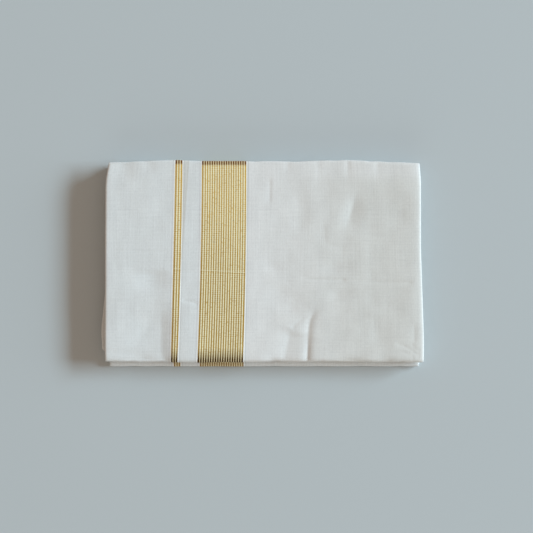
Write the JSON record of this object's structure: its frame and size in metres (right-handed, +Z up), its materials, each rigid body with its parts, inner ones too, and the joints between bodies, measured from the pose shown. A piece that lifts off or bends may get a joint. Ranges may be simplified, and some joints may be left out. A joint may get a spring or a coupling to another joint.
{
  "type": "folded dhoti cloth",
  "caption": "White cotton dhoti pressed and folded into a flat rectangular stack, with a wide woven gold border and a narrow gold stripe across the top.",
  "frame": {"origin": "middle of the underside, where the stack rests on its surface", "axes": "+X across the folded width, from the narrow gold stripe's side towards the plain side; +Y along the cloth's length, away from the front fold; +Z up"},
  "size_m": [0.3228, 0.2074, 0.0202],
  "materials": {
    "white_cotton": "bleached plain-weave cotton, lightly starched and pressed, matte",
    "gold_zari": "gold-coloured metallic thread woven in cords, soft sheen"
  },
  "bodies": {
    "root": {"top_plain_left": "white_cotton", "top_zari_stripe": "gold_zari", "top_plain_gap": "white_cotton", "top_zari_border": "gold_zari", "top_selvedge": "white_cotton", "top_plain_right": "white_cotton", "under_plain_left": "white_cotton", "under_zari_stripe": "gold_zari", "under_plain_gap": "white_cotton", "under_zari_border": "gold_zari", "under_selvedge": "white_cotton", "under_plain_right": "white_cotton", "hidden_layers": "white_cotton"}
  },
  "joints": []
}
